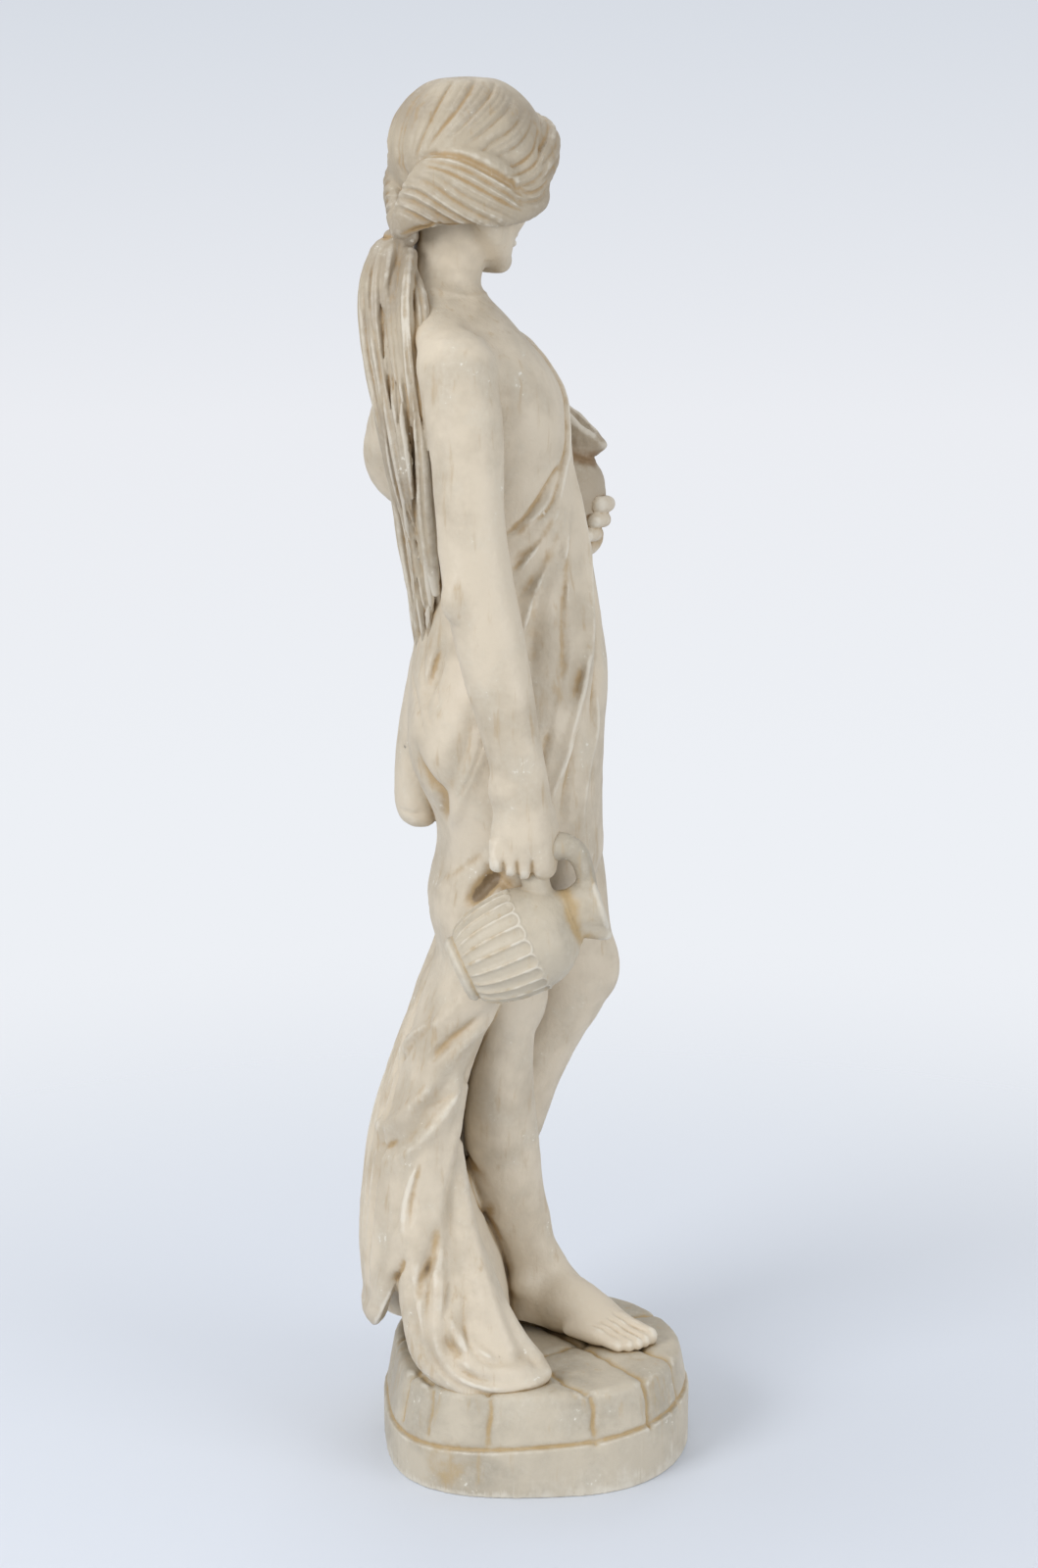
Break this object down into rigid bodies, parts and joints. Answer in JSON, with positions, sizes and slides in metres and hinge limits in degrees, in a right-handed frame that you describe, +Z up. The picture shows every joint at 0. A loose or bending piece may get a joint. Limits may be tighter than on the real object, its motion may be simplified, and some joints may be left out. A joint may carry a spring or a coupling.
{
  "type": "water carrier statuette",
  "caption": "Standing draped woman on a round paved base, one pitcher hanging from her right hand and another held at her left side; cast as one piece.",
  "frame": {"origin": "centre of the base's outline, on its flat underside", "axes": "+Z up the figure, -Y the way she faces, -X her right side"},
  "size_m": [0.3808, 0.2745, 1.0979],
  "materials": {
    "cast_resin": "matt marble-filled resin, ivory with ochre in the creases"
  },
  "bodies": {
    "root": {"water_carrier": "cast_resin"}
  },
  "joints": []
}
